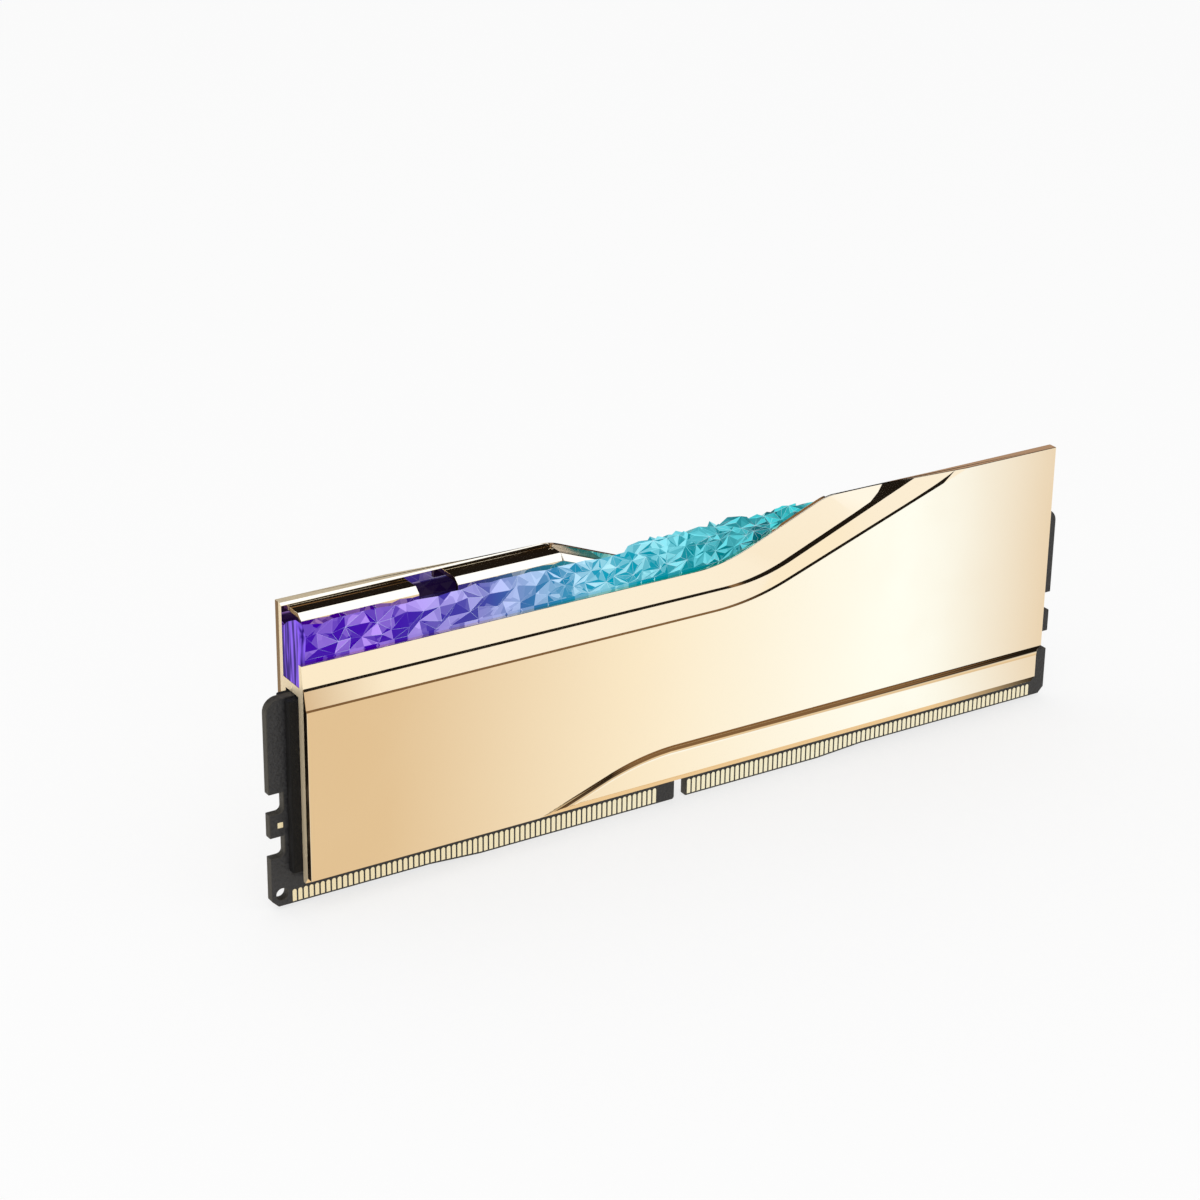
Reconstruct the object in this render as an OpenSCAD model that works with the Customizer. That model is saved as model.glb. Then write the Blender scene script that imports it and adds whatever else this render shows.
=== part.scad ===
// Memory module of the 288-contact desktop kind, with two identical
// mirror-polished heat spreaders and a faceted light bar along the top.
//
// Frame: the origin is at the middle of the contact edge, X runs along the
// board, +Y points to the rear of the module and +Z points up. Millimetres.
// The front spreader is drawn once. The rear one is the same piece, turned
// half a turn about Z, so each side of the module looks alike.

/* [Circuit board] */
// Length of the circuit board
board_l = 133.35; // [132.6:0.05:135]
// Height of the circuit board
board_h = 31.25; // [30.5:0.05:31.25]
// Thickness of the circuit board
board_t = 1.27; // [1.1:0.01:1.35]
// Radius of the two upper corners
board_corner_r = 2; // [0.5:0.1:3]
// Size of the two lower corner cuts
board_corner_cut = 1; // [0.3:0.1:1.2]
// Height that the contact edge steps up at both ends
edge_step = 0.5; // [0:0.05:0.7]
// X where the left ramp of the contact edge starts
left_ramp_x = -42.5; // [-45:0.5:-40]
// X where the right ramp of the contact edge ends
right_ramp_x = 31.4; // [29:0.1:34]
// Length of each ramp of the contact edge
ramp_l = 8; // [4:0.5:12]

/* [Notches and hole] */
// Depth of the four latch notches
notch_depth = 2.1; // [1.5:0.05:2.2]
// Height of each latch notch
notch_h = 3; // [2.4:0.1:3.3]
// Height of the lower latch notch above the contact edge
notch_z = 8; // [7.5:0.1:8.3]
// Height of the tab between two latch notches
notch_tab = 3.5; // [3.2:0.1:4]
// Width of the key notch in the contact edge
key_w = 1.95; // [1.2:0.05:2.1]
// X of the middle of the key notch
key_x = -1.08; // [-1.3:0.01:-1]
// Depth of the key notch
key_depth = 3.85; // [3:0.05:4.2]
// Diameter of the tooling hole
hole_d = 1.7; // [1:0.05:1.9]
// Distance of the tooling hole from the end of the board
hole_inset = 1.55; // [1.4:0.05:1.6]
// Height of the tooling hole above the contact edge
hole_z = 2.3; // [2.2:0.05:3]

/* [Contacts] */
// Distance between two contacts
contact_pitch = 0.85; // [0.8:0.01:0.86]
// Width of a contact
contact_w = 0.6; // [0.4:0.01:0.7]
// Height of the top of the contacts
contact_top = 2.6; // [2.2:0.05:3]
// Clear board between the contact edge and the contacts
contact_margin = 0.3; // [0.1:0.05:0.6]
// Thickness of the contact plating
contact_t = 0.05; // [0.03:0.01:0.1]
// Number of contacts left of the key notch on the front
front_left_count = 69; // [60:1:69]
// Number of contacts right of the key notch on the front
front_right_count = 75; // [60:1:75]
// X of the contact nearest the key notch on its left side
left_group_x = -5.525; // [-5.6:0.005:-5.4]
// X of the contact nearest the key notch on its right side
right_group_x = 0.425; // [0.4:0.005:0.5]

/* [Heat spreaders] */
// Length of the spreaders
spreader_l = 125; // [122:0.5:127]
// How far the tall end of a spreader stands above the circuit board
tall_rise = 11.85; // [11:0.05:13]
// How far the low end of a spreader stands above the circuit board
low_rise = 4.95; // [4.5:0.05:5.4]
// Height of the underside of a spreader
base_z = 4; // [3.6:0.1:4.4]
// Slope of the ramp between the low end and the tall end, in degrees
ramp_angle = 21.3; // [19:0.1:24]
// Distance of the board side of a spreader from the middle plane
inner_d = 1.8; // [1.75:0.05:1.9]
// Distance of the main panel from the middle plane
panel_d = 4.2; // [4.1:0.05:4.8]
// Depth of the panel below which the lower recess lies
recess_depth = 0.95; // [0.6:0.05:1]
// Distance of the top edge from the middle plane at the low end
low_rim_d = 2.85; // [2.75:0.05:2.95]
// Distance of the top edge from the middle plane where the ramp ends
tall_rim_d = 2.85; // [2.8:0.05:2.95]
// Depth of the component pocket in the board side of a spreader
pocket_depth = 0.6; // [0.3:0.05:0.7]
// Thickness of the inner flange that closes the space above the board
flange_t = 1.4; // [1:0.1:1.6]

/* [Relief of the heat spreaders] */
// X of the foot of the ramp in the top edge
top_foot_x = 3.7; // [2:0.1:5]
// Radius of the foot of the ramp in the top edge
top_foot_r = 25; // [10:1:30]
// Radius where the ramp meets the tall end
top_crest_r = 8; // [4:1:14]
// Distance from the low end down to the step between the top band and the middle band
band_drop = 3.15; // [2.8:0.05:3.5]
// Height of that step along the low end
band_step_h = 0.3; // [0.2:0.05:0.6]
// X of the foot of that step's ramp
band_foot_x = 9.2; // [8:0.1:11]
// Radius of the foot of that step's ramp
band_foot_r = 29; // [20:1:36]
// How far that step widens along its ramp
band_step_spread = 1; // [0.5:0.1:2]
// How far that step flares out where it meets the top edge
band_step_flare = 3.7; // [2:0.1:4.5]
// Distance from the low end down to the top edge of the panel
panel_drop = 6.2; // [5.8:0.05:7]
// Height of the step above the panel along the low end
panel_step_h = 0.25; // [0.15:0.05:0.4]
// Slope of the ramp of the panel's top edge, in degrees
panel_angle = 19.1; // [17:0.1:21]
// X of the foot of the ramp of the panel's top edge
panel_foot_x = 8.2; // [7:0.1:11]
// Radius of the foot of the ramp of the panel's top edge
panel_foot_r = 38; // [20:1:44]
// How far the step above the panel widens along its ramp
panel_step_spread = 0.3; // [0.1:0.1:1]
// How far the step above the panel flares out where it meets the top edge
panel_step_flare = 1.4; // [0.5:0.1:2]
// Height of the upper edge of the lower recess
recess_line_z = 10.85; // [9.5:0.05:11.5]
// X where the lower recess starts at the bottom edge of the panel
recess_start_x = -27; // [-32:0.5:-22]
// Slope of the left side of the lower recess, in degrees
recess_angle = 18.9; // [16:0.1:24]
// Radius where the recess turns level
recess_turn_r = 36; // [20:1:40]
// Width of the sloped face along the upper edge of the recess
recess_face_w = 2.1; // [1:0.1:2.6]
// Height of the bottom edge of the main panel
panel_base_z = 5.05; // [4.8:0.05:5.4]

/* [Light bar] */
// Distance from the tall end down to the ridge of the light bar
bar_ridge_drop = 1.75; // [1.5:0.05:2.3]
// Clear height between the light bar and the level part of the clips
clip_room = 2.2; // [2.1:0.05:2.6]
// Distance that the front of the light bar stands out over the low rim
bar_bulge_d = 2.75; // [2.3:0.05:3]
// How far the corners of the random facets stand in or out
facet_depth = 0.3; // [0.1:0.01:0.32]
// Distance between the facets' corners along the light bar
facet_step = 2.15; // [1.8:0.05:3]
// Length of the smooth left end of the light bar
bar_end_l = 0.9; // [0.5:0.05:0.95]
// Distance from the tall end down to the top of the smooth left end
bar_end_drop = 0.8; // [0.6:0.05:1.6]

/* [Clips of the light bar] */
// Distance from the tall end down to the top of the clips
clip_top_drop = 0.55; // [0.45:0.05:0.8]
// Thickness of the clips
clip_t = 0.65; // [0.5:0.05:0.65]
// Distance of the face of the clips in front of the middle plane
clip_reach = 1.15; // [0.8:0.05:1.2]
// Height of the front lip of the clips
clip_lip_h = 2.2; // [1.5:0.05:2.25]
// Height of the bevel along the front of the clips
clip_bevel_h = 0.8; // [0.65:0.05:0.95]
// Distance of the end clip from the left end of the spreaders
end_clip_inset = 1.1; // [0.8:0.1:2.5]
// Length of the end clip
end_clip_l = 17.5; // [14:0.5:20]
// Length of the level part of the middle clip
mid_clip_l = 16.6; // [10:0.1:18]
// Share of the ramp that the sloped part of the middle clip follows
mid_clip_share = 0.42; // [0.2:0.01:0.5]

/* [Electronics] */
// Width of a memory chip
chip_w = 9; // [8:0.1:10]
// Height of a memory chip
chip_h = 11; // [9:0.1:12]
// Thickness of a memory chip with its solder
chip_t = 1.1; // [0.8:0.05:1.2]
// Distance from the end of the spreaders to the middle of the outermost memory chips
chip_inset = 10.4; // [10:0.1:12]
// X of the innermost memory chips
chip_first_x = 15.5; // [14.5:0.1:17]
// Height of the middle of the memory chips
chip_z = 17; // [16:0.5:19]
// Width of the power chip
power_chip_w = 5; // [4:0.1:6]
// Thickness of the power chip
power_chip_t = 0.9; // [0.6:0.05:1.1]
// Number of light windows, with a coloured lamp on each side of the board
lamp_count = 5; // [3:1:6]
// Width of the foam strips at the ends of the spreaders
foam_w = 3.6; // [2.5:0.1:4]
// How far the foam strips stand out of the ends of the spreaders
foam_out = 1.5; // [0.5:0.1:1.6]

/* [Hidden] */
$fn = 48;

// Small amounts
EPS = 0.01;
fit_gap = 0.05;
board_gap = 0.15;

// Colours
BOARD_BLACK = [0.07, 0.07, 0.08];
CONTACT_GOLD = [0.93, 0.80, 0.48];
SPREADER_GOLD = [0.93, 0.83, 0.62];
CHIP_BLACK = [0.10, 0.10, 0.11];
PAD_GREY = [0.25, 0.25, 0.27];
CERAMIC_TAN = [0.62, 0.50, 0.36];
LAMP_WHITE = [0.95, 0.95, 0.92];
CRYSTAL_VIOLET = [0.55, 0.42, 0.95];

// Circuit board
face_y = board_t / 2;
notch_bottoms = [notch_z, notch_z + notch_h + notch_tab];
notch_r = 0.7;
key_r = 0.4;

// Heights of the spreader's ends and of the lines in its relief
tall_z = board_h + tall_rise;
low_z = board_h + low_rise;
band_line_z = low_z - band_drop;
panel_line_z = low_z - panel_drop;
flare_h = 2;

// Spreader levels, all as distances from the middle plane
half_l = spreader_l / 2;
field_d = panel_d - recess_depth;
pocket_d = inner_d + pocket_depth;
low_inner_d = low_rim_d - 0.7;
tall_inner_d = tall_rim_d - 0.35;
body_d = low_rim_d - 0.15;
band_base_d = low_rim_d + 0.37;
band_slope = (band_base_d - low_rim_d) / band_drop;
middle_top_d = low_rim_d + 0.63;
middle_base_d = panel_d - 0.2;
bevel_d = 0.85;
bevel_h = 1.2;
overlap = 0.3;
relief_back_d = inner_d + 0.5;
flange_z = board_h + board_gap;
flange_top_z = flange_z + flange_t;
tall_start_x = top_foot_x + (tall_z - low_z) / tan(ramp_angle);
pocket_margin = 3;
pocket_z = 8;
pocket_top_z = flange_z - 2.4;
window_w = 13;
window_d = 1.5;
arc_steps = 20;
crest_steps = 5;

// Electronics: sizes are [width, thickness, height]
chip_size = [chip_w, chip_t, chip_h];
power_chip_size = [power_chip_w, power_chip_t, power_chip_w];
inductor_size = [2.5, 1, 3.2];
bulk_size = [1.2, 0.8, 2];
bypass_size = [1, 0.5, 0.5];
resistor_size = [2, 0.45, 0.8];
hub_size = [3, 0.8, 2];
driver_size = [4, 0.9, 4];
lamp_size = [2, 0.6, 1.4];
pad_t = pocket_d - face_y - chip_t;

// The memory chips stand in two rows of four
chip_pitch = (half_l - chip_inset - chip_first_x) / 3;

// Lamps, just below the upper edge of the board
lamp_z = board_h - lamp_size[2] / 2 - 0.3;
lamp_x = [for (i = [0:lamp_count - 1]) spreader_l * (i + 0.5) / lamp_count - half_l];

// Places of the power supply's parts: rows below the lamps, round its chip
phase_pitch = 5;
row_gap = 1.8;
lamp_gap = 2.05;
inductor_z = lamp_z - (lamp_size[2] + inductor_size[2]) / 2 - lamp_gap;
power_z = inductor_z - (power_chip_w + inductor_size[2]) / 2 - row_gap;
bulk_z = power_z - (power_chip_w + bulk_size[2]) / 2 - row_gap;
bulk_pitch = 2;
hub_z = bulk_z - (bulk_size[2] + hub_size[2]) / 2 - row_gap;

// Places of the small parts round each memory chip
bypass_pitch = 2.6;
bypass_rise = chip_h / 2 + 0.9;
resistor_pitch = 4.4;
resistor_rise = chip_h / 2 + 2.3;

// Foam strips: clear board above and below them
foam_low_z = base_z + 1.5;
foam_high_z = board_h - 0.2;

// ---- Helpers ------------------------------------------------------------

// A flat shape drawn in X and Z, from distance d0 to d1 in front of Y = 0
module slab(d0, d1) {
    translate([0, -d0, 0]) rotate([90, 0, 0]) linear_extrude(d1 - d0) children();
}

// A block on a face of the board: side -1 is the front and 1 is the rear.
// Its size is [width, thickness, height] and x and z are its middle.
module on_board(side, x, z, size) {
    y0 = side < 0 ? -face_y - size[1] : face_y;
    translate([x - size[0] / 2, y0, z - size[2] / 2]) cube(size);
}

// Points of an arc in X and Z
function arc(cx, cz, r, from, to, steps) =
    [for (i = [0:steps])
        let (a = from + (to - from) * i / steps)
        [cx + r * cos(a), cz + r * sin(a)]];

// A line that runs level, turns by an arc and climbs to the tall end, where it may
// flare out to the left. Its climb has as many points as the crest of the top
// edge, so that a strip can join them.
function ramp_line(z, foot_x, foot_r, angle, flare) =
    let (tangent = foot_r * tan(angle / 2),
        turn = arc(foot_x - tangent, z + foot_r, foot_r, -90, angle - 90, arc_steps),
        start = turn[arc_steps],
        end = [foot_x + (tall_z - z) / tan(angle), tall_z],
        climb_steps = crest_steps + 2)
    concat(
        [[-half_l, z]],
        turn,
        [for (i = [1:climb_steps])
            let (p = start + (end - start) * i / climb_steps)
            [p[0] - flare * max(0, 1 - (tall_z - p[1]) / flare_h), p[1]]]);

// Distance of the top edge from the middle plane at a height
function rim_d(z) =
    low_rim_d + (tall_rim_d - low_rim_d) * min(1, max(0, (z - low_z) / (tall_z - low_z)));

// The same line with a distance from the middle plane at each point
function at_depth(line, d) = [for (p = line) [p[0], p[1], d]];

// A strip over several lines of [x, z, distance] points, from its upper to its
// lower line, filled back to one distance. All its lines have as many points.
module relief_strip(lines, back_d) {
    n = len(lines[0]);
    m = len(lines);
    last = n - 1;
    front = [for (line = lines, p = line) [p[0], -p[2], p[1]]];
    back = [for (line = [lines[m - 1], lines[0]], p = line) [p[0], -back_d, p[1]]];
    // Each square is cut in two so that neither half has its corners on one line
    sides = [for (k = [0:m + 1], i = [0:n - 2], half = [0:1])
        let (a = k * n + i, b = ((k + 1) % (m + 2)) * n + i)
        k < m - 1
            ? (half == 0 ? [a, a + 1, b] : [a + 1, b + 1, b])
            : (half == 0 ? [a, a + 1, b + 1] : [a, b + 1, b])];
    // Each end is closed by a fan of triangles from the lower back corner
    fan = concat([[m * n, (m + 1) * n, 0]],
        [for (j = [0:m - 2]) [m * n, j * n, (j + 1) * n]]);
    end_fan = [for (t = fan) [t[0] + last, t[2] + last, t[1] + last]];
    polyhedron(points = concat(front, back), faces = concat(sides, fan, end_fan));
}

// ---- Lines of the spreader's relief ---------------------------------------

// Each of the two steps of the relief has an upper and a lower line
band_line = ramp_line(band_line_z, band_foot_x, band_foot_r, ramp_angle, band_step_flare);
middle_line = ramp_line(band_line_z - band_step_h, band_foot_x + band_step_spread,
    band_foot_r, ramp_angle, 0);
middle_foot = ramp_line(panel_line_z + panel_step_h, panel_foot_x - panel_step_spread,
    panel_foot_r, panel_angle, panel_step_flare);
panel_line = ramp_line(panel_line_z, panel_foot_x, panel_foot_r, panel_angle, 0);
band_line_end = band_line[len(band_line) - 1][0];

// The top edge: low end, foot of the ramp, ramp, crest and tall end
top_foot_t = top_foot_r * tan(ramp_angle / 2);
top_crest_t = top_crest_r * tan(ramp_angle / 2);
top_line = concat(
    [[-half_l, low_z]],
    arc(top_foot_x - top_foot_t, low_z + top_foot_r, top_foot_r,
        -90, ramp_angle - 90, arc_steps),
    arc(tall_start_x + top_crest_t, tall_z - top_crest_r, top_crest_r,
        90 + ramp_angle, 90, crest_steps));

// The lower recess: its upper edge, and the foot of its sloped face
recess_turn_x = recess_start_x + (recess_line_z - panel_base_z) / tan(recess_angle);
recess_turn_t = recess_turn_r * tan(recess_angle / 2);
recess_turn = [recess_turn_x + recess_turn_t, recess_line_z - recess_turn_r];
recess_foot_r = recess_turn_r - recess_face_w;
recess_foot_x = recess_start_x + recess_face_w / sin(recess_angle);
recess_line = concat(
    [[recess_start_x, panel_base_z]],
    arc(recess_turn[0], recess_turn[1], recess_turn_r, 90 + recess_angle, 90, arc_steps),
    [[half_l, recess_line_z]]);
recess_foot = concat(
    [[recess_foot_x, panel_base_z]],
    arc(recess_turn[0], recess_turn[1], recess_foot_r, 90 + recess_angle, 90, arc_steps),
    [[half_l, recess_line_z - recess_face_w]]);

// ---- Circuit board ---------------------------------------------------------

function edge_z(x) =
    x < left_ramp_x ? edge_step
    : x < left_ramp_x + ramp_l ? edge_step * (1 - (x - left_ramp_x) / ramp_l)
    : x < right_ramp_x - ramp_l ? 0
    : x < right_ramp_x ? edge_step * (x - right_ramp_x + ramp_l) / ramp_l
    : edge_step;

module board_outline() {
    e = board_l / 2;
    polygon(concat(
        [[-e, edge_step + board_corner_cut], [-e + board_corner_cut, edge_step],
         [left_ramp_x, edge_step], [left_ramp_x + ramp_l, 0],
         [right_ramp_x - ramp_l, 0], [right_ramp_x, edge_step],
         [e - board_corner_cut, edge_step], [e, edge_step + board_corner_cut]],
        arc(e - board_corner_r, board_h - board_corner_r, board_corner_r, 0, 90, 8),
        arc(-e + board_corner_r, board_h - board_corner_r, board_corner_r, 90, 180, 8)));
}

// A latch notch at the right end, with its inner lower corner rounded
module latch_notch(z) {
    e = board_l / 2;
    x = e - notch_depth;
    polygon(concat(
        arc(x + notch_r, z + notch_r, notch_r, 270, 180, 6),
        [[x, z + notch_h], [e + 1, z + notch_h], [e + 1, z]]));
}

module key_notch() {
    x0 = key_x - key_w / 2;
    x1 = key_x + key_w / 2;
    polygon(concat(
        [[x0 - key_r, -1], [x0 - key_r, 0]],
        arc(x0 - key_r, key_r, key_r, -90, 0, 6),
        arc(key_x, key_depth - key_w / 2, key_w / 2, 180, 0, 12),
        [[x1, -1]]));
}

module circuit_board() {
    color(BOARD_BLACK) difference() {
        slab(-face_y, face_y) difference() {
            board_outline();
            for (z = notch_bottoms) {
                latch_notch(z);
                mirror([1, 0]) latch_notch(z);
            }
            key_notch();
        }
        translate([hole_inset - board_l / 2, face_y + 1, hole_z])
            rotate([90, 0, 0]) cylinder(d = hole_d, h = board_t + 2);
    }
}

// ---- Contacts ----------------------------------------------------------------

front_contact_x = concat(
    [for (i = [0:front_left_count - 1]) left_group_x - i * contact_pitch],
    [for (i = [0:front_right_count - 1]) right_group_x + i * contact_pitch]);

module contact(x) {
    r = contact_w / 2;
    z0 = max(edge_z(x - r), edge_z(x + r)) + contact_margin;
    translate([x, 0]) {
        translate([-r, z0]) square([contact_w, contact_top - r - z0]);
        intersection() {
            translate([0, contact_top - r]) circle(r, $fn = 16);
            translate([-r, contact_top - r - EPS]) square([contact_w, r + 1]);
        }
    }
}

module contacts_front() {
    color(CONTACT_GOLD) slab(face_y, face_y + contact_t)
        for (x = front_contact_x) contact(x);
}

module contacts_rear() {
    color(CONTACT_GOLD) slab(-face_y - contact_t, -face_y)
        for (x = front_contact_x) contact(x);
}

// Square gold marks on the tabs between the latch notches
module fiducial_marks() {
    mark_w = 0.8;
    mark_x = board_l / 2 - hole_inset;
    mark_z = notch_z + notch_h + notch_tab / 2;
    color(CONTACT_GOLD) for (s = [-1, 1])
        on_board(-1, s * mark_x, mark_z, [mark_w, contact_t, mark_w]);
}

// ---- Electronics ---------------------------------------------------------------

module memory_chip(i) {
    side = i < 4 ? -1 : 1;
    x = side * (chip_first_x + (i < 4 ? 3 - i : i - 4) * chip_pitch);
    color(CHIP_BLACK) on_board(-1, x, chip_z, chip_size);
}

module memory_chip_1() { memory_chip(0); }
module memory_chip_2() { memory_chip(1); }
module memory_chip_3() { memory_chip(2); }
module memory_chip_4() { memory_chip(3); }
module memory_chip_5() { memory_chip(4); }
module memory_chip_6() { memory_chip(5); }
module memory_chip_7() { memory_chip(6); }
module memory_chip_8() { memory_chip(7); }

module power_chip() {
    color(CHIP_BLACK) on_board(-1, 0, power_z, power_chip_size);
}

module power_inductors() {
    color(PAD_GREY) for (i = [-1:1])
        on_board(-1, i * phase_pitch, inductor_z, inductor_size);
}

module bulk_capacitors() {
    color(CERAMIC_TAN) for (i = [-1:1], j = [-0.5, 0.5])
        on_board(-1, i * phase_pitch + j * bulk_pitch, bulk_z, bulk_size);
}

// X of the middles of the memory chips
chip_x = [for (s = [-1, 1], c = [0:3]) s * (chip_first_x + c * chip_pitch)];

// One row of small capacitors above and below each memory chip
module bypass_capacitors() {
    color(CERAMIC_TAN) for (x = chip_x, i = [-1:1], row = [-1, 1])
        on_board(-1, x + i * bypass_pitch, chip_z + row * bypass_rise, bypass_size);
}

module resistor_arrays() {
    color(CHIP_BLACK) for (x = chip_x, i = [-0.5, 0.5])
        on_board(-1, x + i * resistor_pitch, chip_z - resistor_rise, resistor_size);
}

module hub_chip() {
    color(CHIP_BLACK) on_board(-1, 0, hub_z, hub_size);
}

module lamp_driver() {
    color(CHIP_BLACK) on_board(1, 0, chip_z, driver_size);
}

module lamps(side) {
    color(LAMP_WHITE) for (x = lamp_x) on_board(side, x, lamp_z, lamp_size);
}

module lamps_front() { lamps(-1); }
module lamps_rear() { lamps(1); }

// ---- Thermal pads -----------------------------------------------------------------

// Length of the row of four memory chips
chip_row_l = 3 * chip_pitch + chip_w;
chip_row_x = chip_first_x + 1.5 * chip_pitch;

module chip_pad(side) {
    color(PAD_GREY)
        translate([side * chip_row_x - chip_row_l / 2, -pocket_d, chip_z - chip_h / 2])
            cube([chip_row_l, pad_t, chip_h]);
}

module thermal_pad_left() { chip_pad(-1); }
module thermal_pad_right() { chip_pad(1); }

module thermal_pad_power() {
    t = pocket_d - face_y - power_chip_t;
    color(PAD_GREY)
        translate([-power_chip_w / 2, -pocket_d, power_z - power_chip_w / 2])
            cube([power_chip_w, t, power_chip_w]);
}

// Foam between the board and both spreaders, at their two ends
module foam_strips() {
    size = [foam_w, inner_d - face_y, foam_high_z - foam_low_z];
    color(CHIP_BLACK) for (s = [-1, 1], side = [-1, 1])
        on_board(side, s * (half_l + foam_out - foam_w / 2),
            (foam_low_z + foam_high_z) / 2, size);
}

// The rear pad bonds the rear spreader to the bare side of the board,
// and has a window for the lamp driver
module rear_pad() {
    l = 2 * chip_row_x + chip_row_l;
    window = driver_size[0] + 2;
    color(PAD_GREY) difference() {
        translate([-l / 2, face_y, chip_z - chip_h / 2])
            cube([l, pocket_d - face_y, chip_h]);
        translate([-window / 2, face_y - 1, chip_z - window / 2])
            cube([window, pocket_d + 1, window]);
    }
}

// ---- Heat spreaders ------------------------------------------------------------------

// Everything below a line, down to height z, as far as the tall end
module below(line, z) {
    polygon(concat(line, [[half_l, tall_z], [half_l, z], [-half_l, z]]));
}

// The body behind the relief, with its lower front edge bevelled
module spreader_body() {
    difference() {
        union() {
            slab(inner_d, body_d) below(top_line, base_z);
            slab(body_d - EPS, field_d) below(panel_line, base_z);
        }
        rotate([90, 0, 90]) translate([0, 0, -half_l - 1])
            linear_extrude(spreader_l + 2)
                polygon([[-field_d - 1, base_z - 1], [-field_d + bevel_d, base_z - 1],
                    [-field_d + bevel_d, base_z], [-field_d, base_z + bevel_h],
                    [-field_d - 1, base_z + bevel_h]]);
    }
}

// The main panel, left open over the lower recess
module spreader_panel() {
    slab(field_d - overlap, panel_d)
        polygon(concat(
            panel_line, [[half_l, tall_z]],
            [for (i = [len(recess_line) - 1:-1:0]) recess_line[i]],
            [[-half_l, panel_base_z]]));
}

// The two bands along the top with their steps, and the sloped face of the recess
module spreader_relief() {
    top_edge = concat(
        [for (p = top_line) [p[0], p[1], rim_d(p[1])]],
        [[band_line_end - 1, tall_z, tall_rim_d]]);
    // The top band keeps its slope where it runs out to the top edge
    band_foot = [for (p = band_line)
        [p[0], p[1], min(band_base_d, tall_rim_d + (tall_z - p[1]) * band_slope)]];
    relief_strip([
        top_edge, band_foot, at_depth(middle_line, middle_top_d),
        at_depth(middle_foot, middle_base_d), at_depth(panel_line, panel_d)],
        relief_back_d);
    relief_strip([at_depth(recess_line, panel_d), at_depth(recess_foot, field_d - EPS)],
        field_d - overlap);
}

// The inner flange, with the light windows
module spreader_flange() {
    difference() {
        translate([-half_l, -relief_back_d, flange_z])
            cube([spreader_l, relief_back_d - fit_gap, flange_t]);
        for (x = lamp_x)
            translate([x - window_w / 2, -window_d, flange_z - 1])
                cube([window_w, window_d + 1, flange_t + 2]);
    }
}

module spreader() {
    difference() {
        union() {
            spreader_body();
            spreader_panel();
            spreader_relief();
        }
        // Room for the light bar above the flange
        translate([-half_l - 1, -low_inner_d, flange_top_z])
            cube([spreader_l + 2, low_inner_d, tall_z]);
        translate([tall_start_x, -tall_inner_d, flange_top_z])
            cube([half_l - tall_start_x + 1, tall_inner_d, tall_z]);
        // Pocket for the components
        translate([-half_l + pocket_margin, -pocket_d, pocket_z])
            cube([spreader_l - 2 * pocket_margin, pocket_d, pocket_top_z - pocket_z]);
    }
    spreader_flange();
}

module front_spreader() { color(SPREADER_GOLD) spreader(); }
module rear_spreader() { color(SPREADER_GOLD) rotate([0, 0, 180]) spreader(); }

// ---- Light guides and light bar ----------------------------------------------------------

bar_z = flange_top_z;
bar_low_d = low_inner_d - fit_gap;
bar_tall_d = tall_inner_d - fit_gap;
bar_end_gap = 0.1;
bar_l = spreader_l - 2 * bar_end_gap;
bar_open_z = low_z + 0.35;
bar_ridge_z = tall_z - bar_ridge_drop;
bar_end_z = tall_z - bar_end_drop;
bar_rise = bar_ridge_z - bar_open_z;
clip_top_z = tall_z - clip_top_drop;
bar_back_z = clip_top_z - clip_t - clip_room;

// Height of the light bar at a share of the way from its open foot to its ridge
function bar_at(share) = bar_open_z + share * bar_rise;

// Clear blocks that carry the light of the lamps through the flanges
module light_guides() {
    w = window_w - 2 * fit_gap;
    d = window_d - fit_gap;
    color(LAMP_WHITE) for (x = lamp_x)
        translate([x - w / 2, -d, board_h]) cube([w, 2 * d, flange_top_z - board_h]);
}

// Distances of the light bar's two sides from the middle plane, low down and
// above the rims, at a place along the module
function front_low_d(x) = x > tall_start_x + facet_step ? bar_tall_d : bar_low_d;
function rear_low_d(x) = front_low_d(-x);
function front_open_d(x) = x < top_foot_x - top_foot_t ? bar_bulge_d : front_low_d(x);
function rear_open_d(x) = front_open_d(-x);

// The middle clip slopes down from its bend, and the light bar gives way to it
clip_bend_x = -tall_start_x;
mid_clip_x = clip_bend_x - mid_clip_l;
mid_clip_slope_l = mid_clip_share * (tall_z - low_z) / sin(ramp_angle);
clip_end_x = clip_bend_x + mid_clip_slope_l * cos(ramp_angle) + 2 * facet_step;
clip_drop_max = mid_clip_slope_l * sin(ramp_angle) + 2 * fit_gap;
function clip_drop(x) =
    min(clip_drop_max, max(0, (x + facet_step - clip_bend_x) * tan(ramp_angle)));

// Section of the light bar from the front foot over the ridge to the rear foot.
// The third number says how far a corner may be moved at random.
function bar_front(x) = [
    [-front_low_d(x), bar_z, 0],
    [-front_low_d(x), bar_open_z, 0],
    [-front_open_d(x) + 0.4, bar_at(0.33), 1],
    [-front_open_d(x) + 0.35, bar_at(0.69), 1]];

// The rest of the section where the bar lies under the clips
function bar_under_clips(x) =
    let (back_z = bar_back_z - clip_drop(x))
    [[-clip_reach - 0.7, bar_ridge_z, 1],
     [-clip_reach - 0.2, back_z + 0.2, 0],
     [0.4, back_z, 0],
     [rear_low_d(x), back_z - 0.2, 0],
     [rear_low_d(x), (bar_z + back_z) / 2, 0]];

// The rest of the section where nothing lies over the bar
function bar_open_top(x) =
    let (low = x > tall_start_x ? 0.13 : 0)
    [[-1.7, bar_at(0.83 - low), 1],
     [-0.1, bar_at(0.98 - low), 1],
     [1.3, bar_at(0.79 - low), 1],
     [rear_open_d(x) - 0.4, bar_at(0.38 - low), 0.6],
     [rear_low_d(x), bar_open_z, 0]];

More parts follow.
